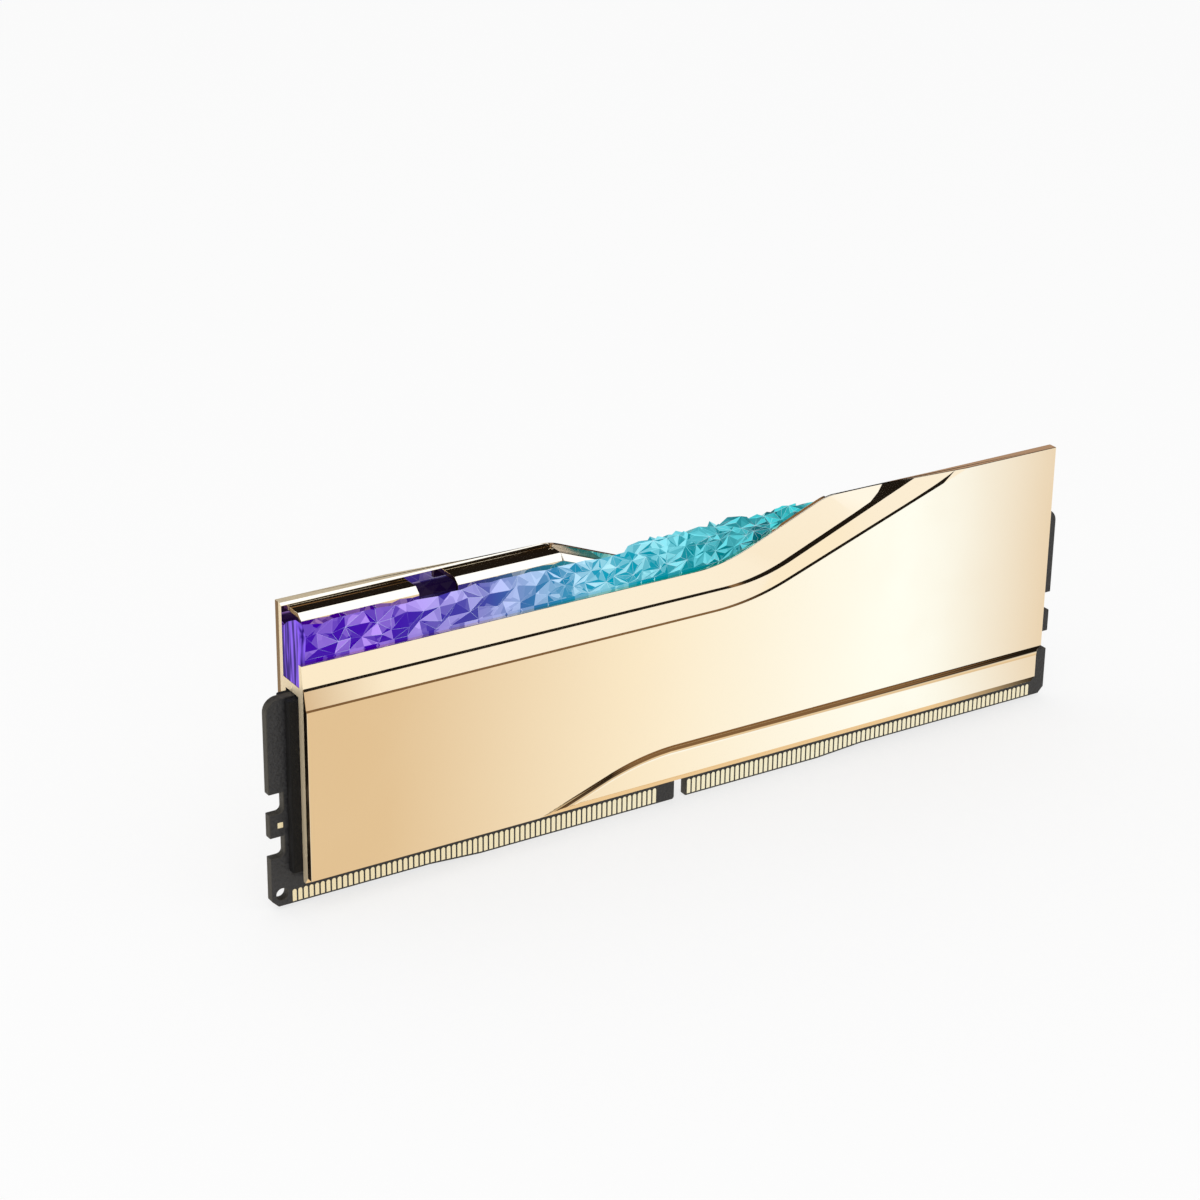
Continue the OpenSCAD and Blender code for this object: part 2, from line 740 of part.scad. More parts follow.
// The section at the smooth left end, which stands higher beside the end clip
bar_end_top = [
    [-1.5, bar_end_z, 0],
    [-0.4, bar_end_z - 0.5, 0],
    [1, bar_end_z - 1.2, 0],
    [bar_tall_d, bar_back_z + 0.1, 0],
    [bar_tall_d, (bar_z + bar_back_z) / 2, 0]];

function bar_section(x) = concat(
    bar_front(x),
    x < -bar_l / 2 + EPS ? bar_end_top
    : x < clip_end_x ? bar_under_clips(x) : bar_open_top(x),
    [[rear_low_d(x), bar_z, 0]]);

bar_steps = floor((bar_l - bar_end_l) / facet_step);
bar_pitch = (bar_l - bar_end_l) / bar_steps;
bar_x = concat([-bar_l / 2],
    [for (i = [0:bar_steps]) -bar_l / 2 + bar_end_l + i * bar_pitch]);
section_n = len(bar_section(0));
jitter_n = len(bar_x) * section_n;
jitter_x = rands(-1, 1, jitter_n, 11);
jitter_y = rands(-1, 1, jitter_n, 23);
jitter_z = rands(-1, 1, jitter_n, 37);
turned = rands(0, 1, jitter_n, 5);

function bar_point(i, k) =
    let (p = bar_section(bar_x[i])[k],
        j = i * section_n + k,
        s = i == 0 ? 0 : p[2] * facet_depth,
        sx = i < 2 || i == len(bar_x) - 1 ? 0 : s * 2.2,
        out = (i + k) % 2 == 0 ? -1 : 1)
    [bar_x[i] + sx * jitter_x[j],
     p[0] + s * (0.7 * out + 0.3 * jitter_y[j]),
     p[1] + s * 1.2 * jitter_z[j]];

module light_bar() {
    points = [for (i = [0:len(bar_x) - 1], k = [0:section_n - 1]) bar_point(i, k)];
    sides = [for (i = [0:len(bar_x) - 2], k = [0:section_n - 1], half = [0:1])
        let (a = i * section_n + k, b = i * section_n + (k + 1) % section_n,
            c = a + section_n, d = b + section_n)
        turned[a] > 0.5
            ? (half == 0 ? [a, b, d] : [a, d, c])
            : (half == 0 ? [a, b, c] : [b, d, c])];
    // Each end is closed by a fan of triangles from the corner before the rear foot
    fan_n = section_n - 2;
    fan = [for (j = [1:fan_n]) [fan_n, (fan_n + j) % section_n, (fan_n + j + 1) % section_n]];
    last = (len(bar_x) - 1) * section_n;
    start = [for (t = fan) [t[0], t[2], t[1]]];
    end = [for (t = fan) [for (k = t) last + k]];
    color(CRYSTAL_VIOLET) polyhedron(points = points, faces = concat(sides, start, end));
}

// ---- Clips ---------------------------------------------------------------------------

// Section of a clip in Y and Z: a flange from the rear, folded down in front
// with a bevel along the fold. Its top is at height 0.
module clip_section(back_y) {
    bevel_w = clip_bevel_h * 1.2;
    fold_y = -clip_reach + clip_t;
    polygon([
        [back_y, -clip_t], [back_y, 0], [-clip_reach + bevel_w, 0],
        [-clip_reach, -clip_bevel_h], [-clip_reach, -clip_lip_h],
        [fold_y, -clip_lip_h], [fold_y, -clip_bevel_h - fit_gap],
        [fold_y + clip_bevel_h + fit_gap - clip_t, -clip_t]]);
}

module clip_run(length, back_y) {
    rotate([90, 0, 90]) linear_extrude(length) clip_section(back_y);
}

module end_clip() {
    color(SPREADER_GOLD) translate([end_clip_inset - half_l, 0, clip_top_z])
        clip_run(end_clip_l, tall_inner_d);
}

module middle_clip() {
    color(SPREADER_GOLD) {
        translate([mid_clip_x, 0, clip_top_z])
            clip_run(clip_bend_x - mid_clip_x, tall_inner_d);
        translate([clip_bend_x - EPS, 0, clip_top_z]) rotate([0, ramp_angle, 0])
            clip_run(mid_clip_slope_l, low_inner_d);
    }
}

circuit_board();
contacts_front();
contacts_rear();
fiducial_marks();
memory_chip_1();
memory_chip_2();
memory_chip_3();
memory_chip_4();
memory_chip_5();
memory_chip_6();
memory_chip_7();
memory_chip_8();
power_chip();
power_inductors();
bulk_capacitors();
bypass_capacitors();
resistor_arrays();
hub_chip();
lamp_driver();
lamps_front();
lamps_rear();
thermal_pad_left();
thermal_pad_right();
thermal_pad_power();
rear_pad();
foam_strips();
front_spreader();
rear_spreader();
light_guides();
light_bar();
end_clip();
middle_clip();
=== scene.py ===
# %% [markdown]
# # A desktop memory module with polished gold plates and a crystal light bar
#
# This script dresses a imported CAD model. The CAD part says where every piece is and how
# large it is. The cells below give those pieces their finish: mirror-polished gold plates,
# a faceted light bar that glows from violet to cyan, a black board and its gold contacts.
# Every length is in metres, in the CAD part's own frame: X runs along the module, +Y points
# to its rear and +Z points up from the contact edge.

import math
import random

import bpy
from mathutils import Matrix, Vector


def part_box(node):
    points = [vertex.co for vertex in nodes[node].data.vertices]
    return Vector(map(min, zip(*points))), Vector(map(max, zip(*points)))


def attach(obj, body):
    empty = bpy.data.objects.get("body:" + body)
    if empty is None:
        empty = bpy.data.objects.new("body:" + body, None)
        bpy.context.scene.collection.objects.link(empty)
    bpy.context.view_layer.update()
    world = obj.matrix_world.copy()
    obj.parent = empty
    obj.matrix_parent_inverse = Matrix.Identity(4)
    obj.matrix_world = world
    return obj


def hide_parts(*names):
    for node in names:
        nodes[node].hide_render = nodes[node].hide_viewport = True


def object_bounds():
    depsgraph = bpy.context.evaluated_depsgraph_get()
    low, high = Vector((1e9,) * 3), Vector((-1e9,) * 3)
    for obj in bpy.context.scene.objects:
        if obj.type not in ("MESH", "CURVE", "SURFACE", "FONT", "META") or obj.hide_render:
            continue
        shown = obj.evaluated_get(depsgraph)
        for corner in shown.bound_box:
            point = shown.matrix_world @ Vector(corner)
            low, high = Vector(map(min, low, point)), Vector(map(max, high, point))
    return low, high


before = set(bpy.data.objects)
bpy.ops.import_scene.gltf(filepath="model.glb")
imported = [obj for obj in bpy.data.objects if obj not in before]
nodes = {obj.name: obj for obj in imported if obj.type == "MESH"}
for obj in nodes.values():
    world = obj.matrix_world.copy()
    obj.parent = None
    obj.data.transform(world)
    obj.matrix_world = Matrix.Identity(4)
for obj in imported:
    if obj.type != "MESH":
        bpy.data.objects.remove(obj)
cad_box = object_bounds()
MM = 0.001
print(f"{len(nodes)} CAD nodes, {(cad_box[1] - cad_box[0]) / MM} mm")

# %% [markdown]
# ## The camera
#
# The module stands half a turn of the head away from the camera: it is seen from its front
# left and from a little above. The place of the camera, the way it looks and its focal
# length come from fitting the known sizes of the circuit board to the photograph. The roll
# is the small tilt of that camera about its own axis.

# %% Place the camera
CAMERA_PLACE = Vector((-224.38, -328.56, 204.31)) * MM
CAMERA_AZIMUTH = math.radians(-32.532)
CAMERA_ELEVATION = math.radians(23.611)
CAMERA_ROLL = math.radians(0.776)
SENSOR_WIDTH = 36.0
FOCAL_LENGTH = 92.247


def camera_axes(azimuth, elevation, roll):
    """The camera's right, up and backward directions, as columns of a matrix."""
    back = Vector((
        math.sin(azimuth) * math.cos(elevation),
        -math.cos(azimuth) * math.cos(elevation),
        math.sin(elevation),
    ))
    level = Vector((math.cos(azimuth), math.sin(azimuth), 0))
    upright = back.cross(level)
    right = math.cos(roll) * level + math.sin(roll) * upright
    up = math.cos(roll) * upright - math.sin(roll) * level
    return Matrix((right, up, back)).transposed()


lens = bpy.data.cameras.new("camera")
lens.lens = FOCAL_LENGTH
lens.sensor_width = SENSOR_WIDTH
lens.clip_start = 0.01
lens.clip_end = 20
camera = bpy.data.objects.new("camera", lens)
bpy.context.scene.collection.objects.link(camera)
turn = camera_axes(CAMERA_AZIMUTH, CAMERA_ELEVATION, CAMERA_ROLL)
camera.matrix_world = Matrix.Translation(CAMERA_PLACE) @ turn.to_4x4()
bpy.context.scene.camera = camera
print(f"camera {CAMERA_PLACE.length / MM:.0f} mm from the middle of the contact edge")

# %% [markdown]
# ## Helpers for making and dressing pieces
#
# Most pieces start as a copy of their CAD node. The copy arrives as loose triangles, so its
# doubles are merged and its flat faces joined again. Then a bevel modifier rounds the edges
# a little, as polishing does, and the long curved strips are shaded smooth. A mirror finish
# needs those rounded edges: they catch the thin light and dark lines that show its shape.


# %% Copy a CAD node and round its edges
def only(obj):
    """Makes obj the one selected and active object."""
    bpy.ops.object.select_all(action="DESELECT")
    obj.select_set(True)
    bpy.context.view_layer.objects.active = obj


def loose_copy(node, name):
    """A merged copy of a CAD node, as an object of its own."""
    obj = bpy.data.objects.new(name, nodes[node].data.copy())
    obj.data.name = name
    bpy.context.scene.collection.objects.link(obj)
    only(obj)
    bpy.ops.mesh.customdata_custom_splitnormals_clear()
    bpy.ops.object.mode_set(mode="EDIT")
    bpy.ops.mesh.select_all(action="SELECT")
    bpy.ops.mesh.remove_doubles(threshold=0.002 * MM)
    bpy.ops.object.mode_set(mode="OBJECT")
    return obj


def join_flat_faces(obj, degrees=0.2):
    """Joins neighbouring faces that lie in one plane."""
    only(obj)
    bpy.ops.object.mode_set(mode="EDIT")
    bpy.ops.mesh.select_all(action="SELECT")
    bpy.ops.mesh.dissolve_limited(angle_limit=math.radians(degrees))
    bpy.ops.object.mode_set(mode="OBJECT")


def round_edges(obj, width, segments=2, sharper_than=25, smooth_below=20, edge_material=-1):
    """Rounds the edges that turn by more than an angle, and shades the rest smooth."""
    only(obj)
    bevel = obj.modifiers.new("rounding", "BEVEL")
    bevel.width = width
    bevel.segments = segments
    bevel.limit_method = "ANGLE"
    bevel.angle_limit = math.radians(sharper_than)
    bevel.use_clamp_overlap = False
    bevel.material = edge_material
    bpy.ops.object.modifier_apply(modifier=bevel.name)
    bpy.ops.object.shade_smooth_by_angle(angle=math.radians(smooth_below))
    weigh = obj.modifiers.new("weigh", "WEIGHTED_NORMAL")
    weigh.weight = 100
    weigh.keep_sharp = True
    bpy.ops.object.modifier_apply(modifier=weigh.name)


def dress(obj, *materials):
    """Gives an object these materials, in place of what it has."""
    obj.data.materials.clear()
    for material in materials:
        obj.data.materials.append(material)


def settle(obj, slot, *stands_for):
    """A finished piece rides on the module's one body and stands for its CAD nodes."""
    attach(obj, "root")
    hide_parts(*stands_for)
    print(f"{obj.name}: {len(obj.data.polygons)} faces")


# %% [markdown]
# ## Helpers for materials
#
# A material here is a Principled shader whose inputs are fed by procedural nodes that read
# Object coordinates. Every piece sits at the origin, so one millimetre in a pattern is one
# millimetre on the module, and a pattern runs through from piece to piece.


# %% Node helpers
def new_material(name):
    """A node material with one Principled shader, and its Object coordinates."""
    material = bpy.data.materials.new(name)
    material.use_nodes = True
    tree = material.node_tree
    shader = tree.nodes["Principled BSDF"]
    place = tree.nodes.new("ShaderNodeTexCoord").outputs["Object"]
    return material, tree, shader, place


def calc(tree, operation, *inputs):
    """A Math node; its inputs are numbers or other nodes' outputs."""
    node = tree.nodes.new("ShaderNodeMath")
    node.operation = operation
    for socket, value in zip(node.inputs, inputs):
        if isinstance(value, (int, float)):
            socket.default_value = value
        else:
            tree.links.new(value, socket)
    return node.outputs["Value"]


def part_of(tree, vector, axis):
    """The X, Y or Z part of a vector."""
    node = tree.nodes.new("ShaderNodeSeparateXYZ")
    tree.links.new(vector, node.inputs["Vector"])
    return node.outputs[axis]


def noise(tree, place, scale, detail):
    """A noise pattern, with scale in repeats per metre."""
    node = tree.nodes.new("ShaderNodeTexNoise")
    node.inputs["Scale"].default_value = scale
    node.inputs["Detail"].default_value = detail
    tree.links.new(place, node.inputs["Vector"])
    return node.outputs["Fac"]


def squashed(tree, place, scale):
    """Coordinates for a pattern that is drawn out along one or more axes."""
    node = tree.nodes.new("ShaderNodeMapping")
    node.inputs["Scale"].default_value = scale
    tree.links.new(place, node.inputs["Vector"])
    return node.outputs["Vector"]


def stretch(tree, value, low, high, from_low=0.0, from_high=1.0):
    """Maps a value from one range to another, held within the new range."""
    node = tree.nodes.new("ShaderNodeMapRange")
    node.inputs["From Min"].default_value = from_low
    node.inputs["From Max"].default_value = from_high
    node.inputs["To Min"].default_value = low
    node.inputs["To Max"].default_value = high
    tree.links.new(value, node.inputs["Value"])
    return node.outputs["Result"]


def blend_colours(tree, factor, first, second):
    """Mixes two colours; each is a tuple or another node's output."""
    node = tree.nodes.new("ShaderNodeMix")
    node.data_type = "RGBA"
    if isinstance(factor, float):
        node.inputs["Factor"].default_value = factor
    else:
        tree.links.new(factor, node.inputs["Factor"])
    for socket, colour in ((node.inputs[6], first), (node.inputs[7], second)):
        if isinstance(colour, tuple):
            socket.default_value = (*colour, 1)
        else:
            tree.links.new(colour, socket)
    return node.outputs[2]


def bump(tree, height, distance, strength):
    """A normal bent by a height pattern that is distance deep."""
    node = tree.nodes.new("ShaderNodeBump")
    node.inputs["Distance"].default_value = distance
    node.inputs["Strength"].default_value = strength
    tree.links.new(height, node.inputs["Height"])
    return node.outputs["Normal"]


def ramp(tree, value, stops):
    """A colour ramp; stops are (position, (red, green, blue))."""
    node = tree.nodes.new("ShaderNodeValToRGB")
    elements = node.color_ramp.elements
    while len(elements) < len(stops):
        elements.new(0.5)
    for element, (position, colour) in zip(elements, stops):
        element.position = position
        element.color = (*colour, 1)
    tree.links.new(value, node.inputs["Fac"])
    return node.outputs["Color"]


# %% [markdown]
# Moulded plastic, solder mask, rubber and foam all have a fine grain. One node group makes
# it: it mixes two tones by a noise, and gives a roughness and a normal from the same noise.
# Each material sets the group's scale, depth and tones for itself.

# %% The grain group
def grain_group():
    """Two tones, a roughness and a normal, all from one noise."""
    group = bpy.data.node_groups.new("grain", "ShaderNodeTree")
    sockets = group.interface
    for name, kind in (("Place", "NodeSocketVector"), ("Scale", "NodeSocketFloat"),
                       ("Depth", "NodeSocketFloat"), ("Dark", "NodeSocketColor"),
                       ("Light", "NodeSocketColor"), ("Smooth", "NodeSocketFloat"),
                       ("Rough", "NodeSocketFloat")):
        sockets.new_socket(name, in_out="INPUT", socket_type=kind)
    for name, kind in (("Colour", "NodeSocketColor"), ("Roughness", "NodeSocketFloat"),
                       ("Normal", "NodeSocketVector")):
        sockets.new_socket(name, in_out="OUTPUT", socket_type=kind)
    entry = group.nodes.new("NodeGroupInput").outputs
    leave = group.nodes.new("NodeGroupOutput").inputs
    fine = group.nodes.new("ShaderNodeTexNoise")
    fine.inputs["Detail"].default_value = 3
    group.links.new(entry["Place"], fine.inputs["Vector"])
    group.links.new(entry["Scale"], fine.inputs["Scale"])
    contrast = stretch(group, fine.outputs["Fac"], 0, 1, 0.3, 0.7)
    group.links.new(blend_colours(group, contrast, entry["Dark"], entry["Light"]), leave["Colour"])
    rough = group.nodes.new("ShaderNodeMapRange")
    group.links.new(contrast, rough.inputs["Value"])
    group.links.new(entry["Smooth"], rough.inputs["To Min"])
    group.links.new(entry["Rough"], rough.inputs["To Max"])
    group.links.new(rough.outputs["Result"], leave["Roughness"])
    relief = group.nodes.new("ShaderNodeBump")
    group.links.new(entry["Depth"], relief.inputs["Distance"])
    group.links.new(contrast, relief.inputs["Height"])
    group.links.new(relief.outputs["Normal"], leave["Normal"])
    return group


GRAIN = grain_group()


def grained(tree, shader, place, scale, depth, dark, light, smooth, rough):
    """Adds the grain to a shader and returns its colour output, for further mixing."""
    node = tree.nodes.new("ShaderNodeGroup")
    node.node_tree = GRAIN
    tree.links.new(place, node.inputs["Place"])
    for name, value in (("Scale", scale), ("Depth", depth), ("Smooth", smooth), ("Rough", rough)):
        node.inputs[name].default_value = value
    node.inputs["Dark"].default_value = (*dark, 1)
    node.inputs["Light"].default_value = (*light, 1)
    tree.links.new(node.outputs["Colour"], shader.inputs["Base Color"])
    tree.links.new(node.outputs["Roughness"], shader.inputs["Roughness"])
    tree.links.new(node.outputs["Normal"], shader.inputs["Normal"])
    return node.outputs["Colour"]


print("group", GRAIN.name, "has", len(GRAIN.nodes), "nodes")

# %% [markdown]
# ## The polished gold of the plates
#
# Both plates and the clips are aluminium with a thin pale gold coat that is polished until
# it mirrors the studio. A mirror has hardly any colour pattern of its own, so what makes it
# look real is small: a very faint waviness of the sheet, which bends reflections a little,
# and a soft haze where the polish is not quite even. A dark brown gold paints shade where
# the forms turn away: on a band of each sawn end along the panel, on the sawn ends of the
# clips and on the sloped top of the middle clip.

# %% Gold mirror
def gold(name, pale, warm, smooth, rough, metallic=1.0):
    """A polished metal of two close tones, with a faint haze and waviness."""
    material, tree, shader, place = new_material(name)
    shader.inputs["Metallic"].default_value = metallic
    tint = noise(tree, place, 35, detail=2)
    tree.links.new(blend_colours(tree, tint, pale, warm), shader.inputs["Base Color"])
    haze = noise(tree, place, 90, detail=4)
    tree.links.new(stretch(tree, haze, smooth, rough, 0.35, 0.7), shader.inputs["Roughness"])
    waves = noise(tree, place, 60, detail=1)
    tree.links.new(bump(tree, waves, 0.01 * MM, 0.3), shader.inputs["Normal"])
    return material


GOLD = gold("gold_mirror", (0.985, 0.865, 0.665), (0.965, 0.835, 0.625), 0.03, 0.08)
# Painted shade: a dark brown gold for the shaded end bands and clip faces
GOLD_SHADE = gold("gold_painted_shade", (0.20, 0.13, 0.07), (0.32, 0.22, 0.12), 0.12, 0.25)
GOLD_END = gold("gold_end", (0.96, 0.82, 0.58), (0.88, 0.72, 0.47), 0.35, 0.45, metallic=0.45)
print(GOLD.name, GOLD_SHADE.name, GOLD_END.name)

# %% [markdown]
# ## The front and rear plates
#
# Each plate is one pressed and polished shell. The copy of the CAD node keeps its outline
# and its two curved bands. Four things are added to it. The sloped face over the lower
# recess becomes a hollow curve, so that it mirrors a soft brown band in place of one flat
# tone. The upper edge at the tall end has a wider bevel towards the light bar. The ends are
# sawn, so they are satin and not a mirror, with a band of painted shade along the panel, and
# the top edge of the rear plate is satin too. And where the upper step of the relief runs out
# to the top edge, its last small facets become one face, which mirrors one black wedge.

# %% Shape the plates
# The second slot holds the gold that is painted with shade
MIRROR_SLOT, SHADE_SLOT, END_SLOT = range(3)
SHADE_BAND_FROM = 3.2 * MM
RIM_BEVEL = 0.3 * MM
EDGE_ROUNDING = 0.06 * MM
SAME_PLACE = 0.001 * MM
HOLLOW_CUTS = 12


def select_parts(obj, kind, wanted):
    """Selects the vertices, edges or faces of obj for which wanted(part) is true."""
    only(obj)
    bpy.ops.object.mode_set(mode="EDIT")
    bpy.ops.mesh.select_mode(type=kind)
    bpy.ops.mesh.select_all(action="DESELECT")
    bpy.ops.object.mode_set(mode="OBJECT")
    parts = {"VERT": obj.data.vertices, "EDGE": obj.data.edges, "FACE": obj.data.polygons}[kind]
    count = 0
    for part in parts:
        part.select = wanted(part)
        count += part.select
    bpy.ops.object.mode_set(mode="EDIT")
    return count


def is_end(face):
    """The upright faces at both ends of a plate."""
    return abs(face.normal.x) > 0.99 and abs(face.center.x) > 60 * MM


def split_ends(obj):
    """Cuts the end faces where the band of painted shade starts, and gives both parts their
    material.
    """
    for side in (-1, 1):
        select_parts(obj, "FACE", is_end)
        bpy.ops.mesh.bisect(plane_co=(0, side * SHADE_BAND_FROM, 0), plane_no=(0, 1, 0))
        bpy.ops.object.mode_set(mode="OBJECT")
    for face in obj.data.polygons:
        if is_end(face):
            # The outer band of each end face gets the gold painted with shade
            in_shade_band = abs(face.center.y) > SHADE_BAND_FROM
            face.material_index = SHADE_SLOT if in_shade_band else END_SLOT


def bevel_rim(obj):
    """Bevels the upper edge that faces the light bar, along the tall end."""
    top = max(v.co.z for v in obj.data.vertices)
    inner = min(abs(v.co.y) for v in obj.data.vertices if v.co.z > top - SAME_PLACE)

    def on_rim(point):
        return abs(point.z - top) < 0.01 * MM and abs(abs(point.y) - inner) < 0.01 * MM

    def along_rim(edge):
        first, last = (obj.data.vertices[i].co for i in edge.vertices)
        return abs(first.x - last.x) > 3 * MM and on_rim(first) and on_rim(last)

    count = select_parts(obj, "EDGE", along_rim)
    bpy.ops.mesh.bevel(offset=RIM_BEVEL, segments=1, affect="EDGES")
    bpy.ops.object.mode_set(mode="OBJECT")
    print(f"{obj.name}: {count} rim edges")


def is_recess_slope(face):
    """The faces that slope back under the panel's lower edge, above the bottom bevel."""
    down = -face.normal.z
    tilt = math.hypot(face.normal.x, down)
    sloped = down > 0.2 and (0.3 < down < 0.5 or 0.3 < tilt < 0.5)
    return sloped and 5.3 * MM < face.center.z < 11 * MM and abs(face.center.y) > 3.3 * MM


def hollow_recess(obj):
    """Cuts the sloped face into strips and presses them into a hollow curve."""
    count = select_parts(obj, "FACE", is_recess_slope)
    bpy.ops.object.mode_set(mode="OBJECT")
    slopes = [f for f in obj.data.polygons if f.select]
    levels = [abs(obj.data.vertices[i].co.y) for f in slopes for i in f.vertices]
    deep, high = min(levels), max(levels)
    across = set()
    for face in slopes:
        for key in face.edge_keys:
            depths = [abs(obj.data.vertices[i].co.y) for i in key]
            if max(depths) - min(depths) > 0.9 * (high - deep):
                across.add(key)
    select_parts(obj, "EDGE", lambda edge: edge.key in across)
    bpy.ops.mesh.subdivide(number_cuts=HOLLOW_CUTS)
    bpy.ops.object.mode_set(mode="OBJECT")
    for vertex in obj.data.vertices:
        depth = abs(vertex.co.y)
        if vertex.select and deep + SAME_PLACE < depth < high - SAME_PLACE:
            share = (depth - deep) / (high - deep)
            vertex.co.y = math.copysign(deep + (high - deep) * share * share, vertex.co.y)
    print(f"{obj.name}: {count} recess faces, {len(across)} cut edges")


def satin_top(obj):
    """The top edge of the tall end is satin like the end faces."""
    for face in obj.data.polygons:
        if face.center.z > 42.9 * MM and face.normal.z > 0.99:
            face.material_index = END_SLOT


def join_run_out(obj):
    """Where the upper step runs out to the top edge, its last facets become one face."""
    def in_run_out(face):
        side = -1 if face.center.y > 0 else 1
        return (29.5 * MM < side * face.center.x < 35 * MM and face.center.z > 41 * MM
                and 0.2 < face.normal.z < 0.36 and abs(face.center.y) < 3.35 * MM)

    count = select_parts(obj, "FACE", in_run_out)
    bpy.ops.mesh.dissolve_faces()
    bpy.ops.object.mode_set(mode="OBJECT")
    print(f"{obj.name}: {count} facets joined")


def plate(node):
    """A plate as a piece of its own, with its edges rounded and its bands smooth."""
    obj = loose_copy(node, node.replace("_spreader", "_plate"))
    join_flat_faces(obj)
    dress(obj, GOLD, GOLD_SHADE, GOLD_END)
    hollow_recess(obj)
    bevel_rim(obj)
    split_ends(obj)
    join_run_out(obj)
    if node == "rear_spreader":
        satin_top(obj)
    round_edges(obj, EDGE_ROUNDING, segments=2, sharper_than=44, smooth_below=4.5)
    settle(obj, "spreader_gold", node)


plate("front_spreader")
plate("rear_spreader")

# %% [markdown]
# ## The clips
#
# Two folded tabs reach over the light bar from the rear plate. They are of the same gold,
# and their bevelled fold catches the overhead soft box as one clean white strip. Their sawn
# ends and the sloped top of the middle clip get the dark brown gold of painted shade.

# %% Dress the clips
def clip(node):
    """A clip as a piece of its own."""
    obj = loose_copy(node, node + "_tab")
    join_flat_faces(obj)
    dress(obj, GOLD, GOLD_SHADE)
    round_edges(obj, 0.04 * MM, segments=2, sharper_than=25)
    for face in obj.data.polygons:
        # Painted shade: the sloped top and the sawn ends get the dark brown gold
        sloped_top = face.normal.z > 0.8 and abs(face.normal.x) > 0.15
        sawn_end = abs(face.normal.x) > 0.95
        face.material_index = SHADE_SLOT if sloped_top or sawn_end else MIRROR_SLOT
    settle(obj, "spreader_gold", node)


clip("end_clip")
clip("middle_clip")

# %% [markdown]
# ## The crystal light bar
#
# The light bar is one piece of clear resin with random flat facets. Lamps under it glow from
# violet at the left to turquoise at the right. Real glass with a light inside would need a
# long render to be clean, so here every facet glows by itself, a painted glow: each has its
# own brightness, part chance and part painted shading by how it faces the light, and inside
# it lie smaller cells, a painted view of the far facets as they look through the near ones.
# The facets get smaller and more pointed towards the right, so those faces are poked: each
# triangle gets a new corner in its middle, which is pulled out and moved at random. Along
# the open ridge the corners are moved again, for a jagged top. Last, every edge gets a
# narrow bevel that glows lighter, a painted highlight, and here and there that bevel shines
# with a painted glint.

# %% Facets
SMALL_FACETS_FROM = -24 * MM
FOOT_HEIGHT = 3 * MM
CLIP_TO_X = -8 * MM
CLIP_FROM_Y = -1.6 * MM


def roughen_ridge(obj, from_x, from_z, scatter, seed):
    """Moves the corners along the open part of the ridge at random, for a jagged top."""
    count = select_parts(obj, "VERT", lambda v: v.co.x > from_x and v.co.z > from_z)
    bpy.ops.transform.vertex_random(offset=scatter, seed=seed)
    bpy.ops.object.mode_set(mode="OBJECT")
    print(f"{count} corners along the ridge")


def poke_facets(obj, from_x, height, scatter, seed):
    """Splits each face right of from_x in three round a corner that is pulled out."""
    above_foot = min(v.co.z for v in obj.data.vertices) + FOOT_HEIGHT
    before = len(obj.data.vertices)

    # Under the middle clip the facets stay flat, so that none of them reaches through it
    def is_free(face):
        place = face.center
        under_clip = place.x < CLIP_TO_X and place.y > CLIP_FROM_Y
        return place.x > from_x and place.z > above_foot and not under_clip

    select_parts(obj, "FACE", is_free)
    bpy.ops.mesh.poke()
    bpy.ops.object.mode_set(mode="OBJECT")
    select_parts(obj, "VERT", lambda v: v.index >= before)
    bpy.ops.transform.shrink_fatten(value=height)
    bpy.ops.transform.vertex_random(offset=scatter, seed=seed)
    bpy.ops.object.mode_set(mode="OBJECT")


crystal = loose_copy("light_bar", "crystal_bar")
poke_facets(crystal, SMALL_FACETS_FROM, 0.34 * MM, 0.15 * MM, seed=5)
roughen_ridge(crystal, -10 * MM, 40.3 * MM, 0.65 * MM, seed=8)
print(f"{len(crystal.data.polygons)} facets")

# %% The tones of the glow
HALF_LENGTH = 62.5
VIOLET_TO_TURQUOISE = (
    # X in millimetres, deep tone, light tone
    (-50, (0.05, 0.0, 0.4), (0.5, 0.3, 0.95)),    # violet
    (-35, (0.05, 0.05, 0.35), (0.5, 0.5, 0.95)),    # blue violet
    (-15, (0.0, 0.35, 0.5), (0.45, 0.85, 0.95)),    # sky blue
    (0, (0.0, 0.25, 0.3), (0.2, 0.8, 0.9)),    # turquoise
    (15, (0.0, 0.08, 0.1), (0.05, 0.65, 0.7)),    # deep turquoise
)


def along_module(tree, place):
    """0 at the left end of the module and 1 at its right end."""
    return stretch(tree, part_of(tree, place, "X"), 0, 1, -HALF_LENGTH * MM, HALF_LENGTH * MM)


def glow_tone(tree, share, column):
    """The deep tones, column 1, or the light tones, column 2, along the module."""
    return ramp(tree, share, [((row[0] / HALF_LENGTH + 1) / 2, row[column])
                              for row in VIOLET_TO_TURQUOISE])


print(len(VIOLET_TO_TURQUOISE), "pairs of tones")

# %% A value for each facet, part chance and part painted shading
LIGHT_FROM = Vector((-0.35, -0.45, 0.82))
CHANCE_SHARE = 0.55


def facet_chance_and_shade(obj, name, seed):
    """Stores a number from 0 to 1 on each face: part of it chance, part painted shading by how it
    faces LIGHT_FROM.
    """
    rng = random.Random(seed)
    values = obj.data.attributes.new(name, "FLOAT", "FACE")
    for item, face in zip(values.data, obj.data.polygons):
        # Painted shading: a face turned towards LIGHT_FROM gets a higher value, so it glows
        # lighter
        turned = 0.5 + 0.5 * face.normal.dot(LIGHT_FROM)
        item.value = CHANCE_SHARE * rng.random() + (1 - CHANCE_SHARE) * turned ** 2


